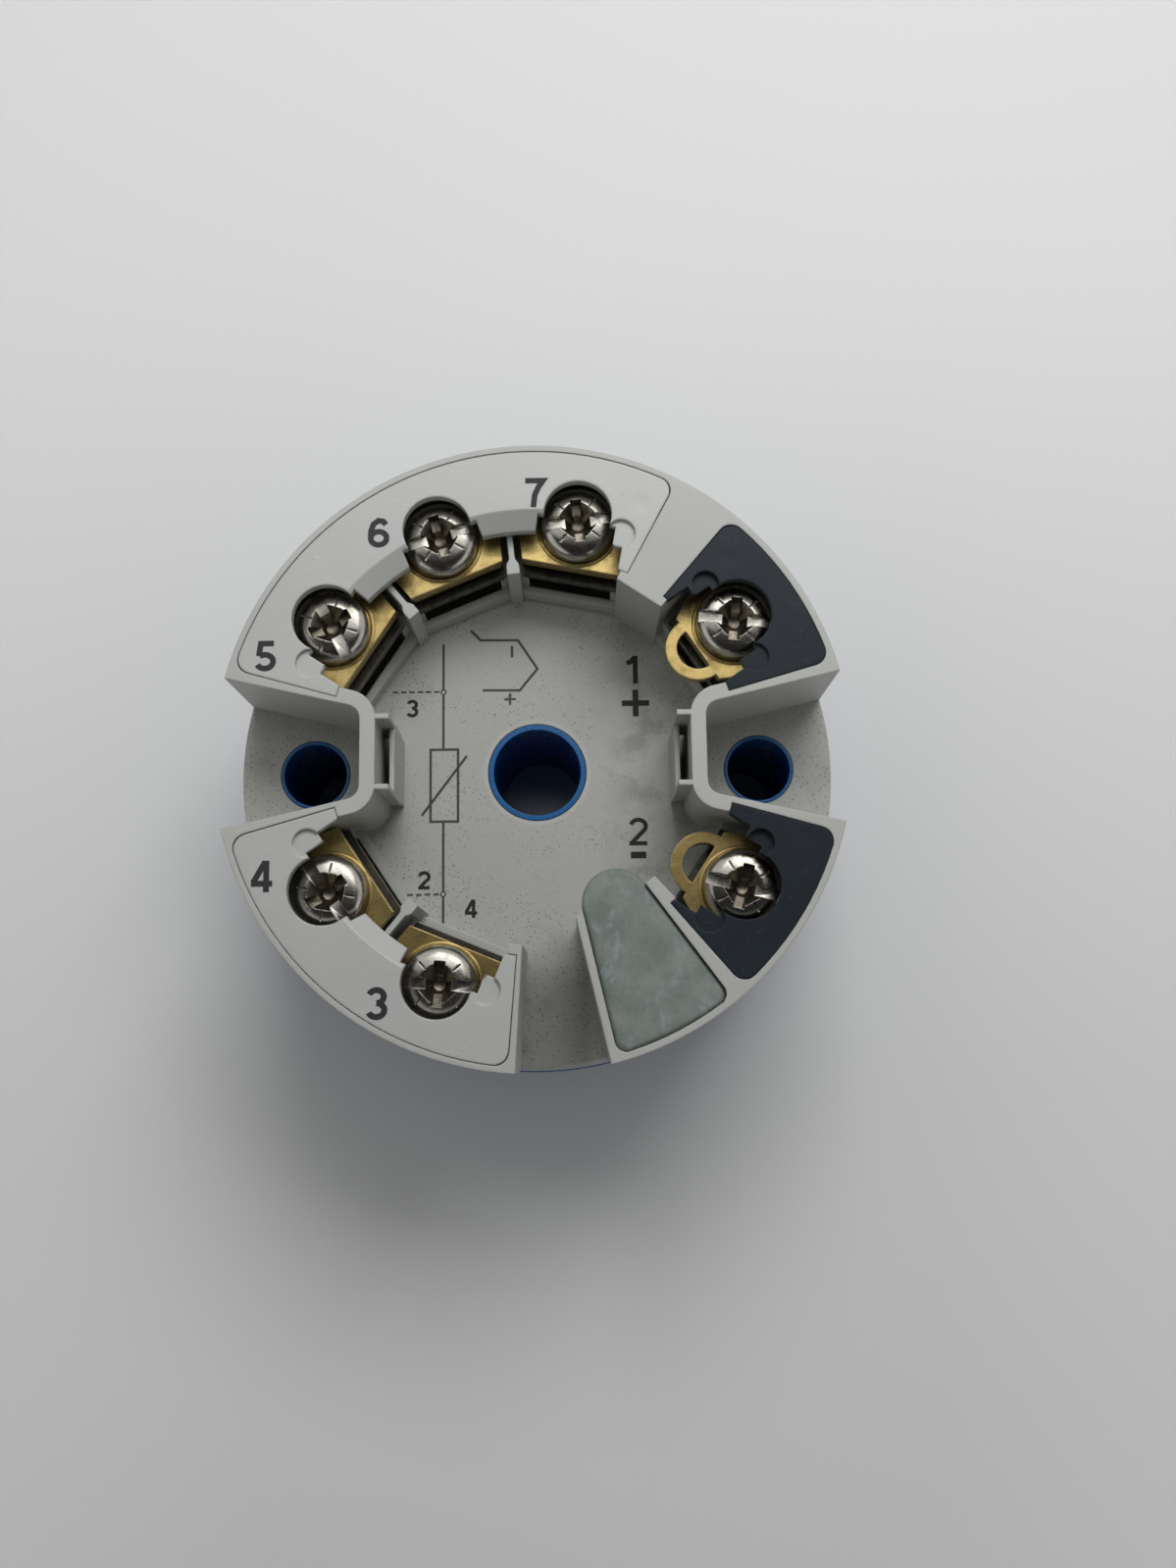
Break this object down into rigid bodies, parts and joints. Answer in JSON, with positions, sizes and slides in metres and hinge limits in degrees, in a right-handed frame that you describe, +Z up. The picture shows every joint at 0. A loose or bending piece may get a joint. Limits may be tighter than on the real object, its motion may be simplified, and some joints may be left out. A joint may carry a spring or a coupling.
{
  "type": "temperature transmitter",
  "caption": "Round head-mounted temperature transmitter in a blue cup, with screw terminals round a grey deck, a rubber service plug and two mounting holes",
  "frame": {"origin": "middle of the transmitter's flat bottom, on the axis of the wire hole", "axes": "+X along the line of the two mounting holes towards the loop terminals 1 and 2, +Y towards sensor terminals 6 and 7, +Z up out of the deck"},
  "size_m": [0.044, 0.044, 0.0241],
  "materials": {
    "blue_plastic": "satin",
    "grey_plastic": "matte",
    "white_plastic": "gloss",
    "dark_plastic": "satin",
    "plug_rubber": "matte",
    "brass": "satin",
    "nickel": "polished",
    "bar_steel": "satin",
    "board_laminate": "satin",
    "chip_resin": "matte",
    "ferrite": "matte",
    "winding_copper": "gloss",
    "can_aluminium": "satin",
    "potting_resin": "gloss"
  },
  "bodies": {
    "root": {"base_cup": "blue_plastic", "top_housing": "grey_plastic", "cover_plate_567": "white_plastic", "cover_plate_34": "white_plastic", "loop_cover_1": "dark_plastic", "loop_cover_2": "dark_plastic", "service_connector": "dark_plastic", "connector_pins": "brass", "contact_bar_1": "bar_steel", "contact_bar_2": "bar_steel", "contact_bar_3": "bar_steel", "contact_bar_4": "bar_steel", "contact_bar_5": "bar_steel", "contact_bar_6": "bar_steel", "contact_bar_7": "bar_steel", "thread_bushes": "brass", "main_board": "board_laminate", "power_board": "board_laminate", "board_link": "dark_plastic", "isolation_transformer": "ferrite", "transformer_winding": "winding_copper", "controller_chip": "chip_resin", "converter_chip": "chip_resin", "quartz_can": "nickel", "storage_capacitors": "can_aluminium", "chip_resistors": "chip_resin", "filter_inductor": "ferrite", "surge_diodes": "chip_resin", "potting_fill": "potting_resin"},
    "clamp_1": {"clamp_plate_1": "brass"},
    "screw_1": {"terminal_screw_1": "nickel"},
    "clamp_2": {"clamp_plate_2": "brass"},
    "screw_2": {"terminal_screw_2": "nickel"},
    "clamp_3": {"clamp_plate_3": "brass"},
    "screw_3": {"terminal_screw_3": "nickel"},
    "clamp_4": {"clamp_plate_4": "brass"},
    "screw_4": {"terminal_screw_4": "nickel"},
    "clamp_5": {"clamp_plate_5": "brass"},
    "screw_5": {"terminal_screw_5": "nickel"},
    "clamp_6": {"clamp_plate_6": "brass"},
    "screw_6": {"terminal_screw_6": "nickel"},
    "clamp_7": {"clamp_plate_7": "brass"},
    "screw_7": {"terminal_screw_7": "nickel"},
    "plug": {"service_plug": "plug_rubber"}
  },
  "joints": [
    {"name": "clamp_1_rise", "type": "slide", "parent": "root", "child": "clamp_1", "axis": [0, 0, 1], "range_m": [-0.0007, 0.0006]},
    {"name": "screw_1_turn", "type": "hinge", "parent": "clamp_1", "child": "screw_1", "pos_m": [0.0143, 0.00947, 0.0215], "axis": [0, 0, 1], "range_deg": [-506, 434]},
    {"name": "clamp_2_rise", "type": "slide", "parent": "root", "child": "clamp_2", "axis": [0, 0, 1], "range_m": [-0.0007, 0.0006]},
    {"name": "screw_2_turn", "type": "hinge", "parent": "clamp_2", "child": "screw_2", "pos_m": [0.0143, -0.00947, 0.0215], "axis": [0, 0, 1], "range_deg": [-506, 434]},
    {"name": "clamp_3_rise", "type": "slide", "parent": "root", "child": "clamp_3", "axis": [0, 0, 1], "range_m": [-0.0007, 0.0006]},
    {"name": "screw_3_turn", "type": "hinge", "parent": "clamp_3", "child": "screw_3", "pos_m": [-0.00663, -0.01582, 0.0215], "axis": [0, 0, 1], "range_deg": [-506, 434]},
    {"name": "clamp_4_rise", "type": "slide", "parent": "root", "child": "clamp_4", "axis": [0, 0, 1], "range_m": [-0.0007, 0.0006]},
    {"name": "screw_4_turn", "type": "hinge", "parent": "clamp_4", "child": "screw_4", "pos_m": [-0.0143, -0.00947, 0.0215], "axis": [0, 0, 1], "range_deg": [-506, 434]},
    {"name": "clamp_5_rise", "type": "slide", "parent": "root", "child": "clamp_5", "axis": [0, 0, 1], "range_m": [-0.0007, 0.0006]},
    {"name": "screw_5_turn", "type": "hinge", "parent": "clamp_5", "child": "screw_5", "pos_m": [-0.0143, 0.00947, 0.0215], "axis": [0, 0, 1], "range_deg": [-506, 434]},
    {"name": "clamp_6_rise", "type": "slide", "parent": "root", "child": "clamp_6", "axis": [0, 0, 1], "range_m": [-0.0007, 0.0006]},
    {"name": "screw_6_turn", "type": "hinge", "parent": "clamp_6", "child": "screw_6", "pos_m": [-0.00663, 0.01582, 0.0215], "axis": [0, 0, 1], "range_deg": [-506, 434]},
    {"name": "clamp_7_rise", "type": "slide", "parent": "root", "child": "clamp_7", "axis": [0, 0, 1], "range_m": [-0.0007, 0.0006]},
    {"name": "screw_7_turn", "type": "hinge", "parent": "clamp_7", "child": "screw_7", "pos_m": [0.00327, 0.01683, 0.0215], "axis": [0, 0, 1], "range_deg": [-506, 434]},
    {"name": "plug_pull", "type": "slide", "parent": "root", "child": "plug", "axis": [0, 0, 1], "range_m": [0, 0.012]}
  ],
  "couplings": [
    {"joint": "screw_1_turn", "follows": "clamp_1_rise", "rad_per_m": 12566},
    {"joint": "screw_2_turn", "follows": "clamp_2_rise", "rad_per_m": 12566},
    {"joint": "screw_3_turn", "follows": "clamp_3_rise", "rad_per_m": 12566},
    {"joint": "screw_4_turn", "follows": "clamp_4_rise", "rad_per_m": 12566},
    {"joint": "screw_5_turn", "follows": "clamp_5_rise", "rad_per_m": 12566},
    {"joint": "screw_6_turn", "follows": "clamp_6_rise", "rad_per_m": 12566},
    {"joint": "screw_7_turn", "follows": "clamp_7_rise", "rad_per_m": 12566}
  ]
}
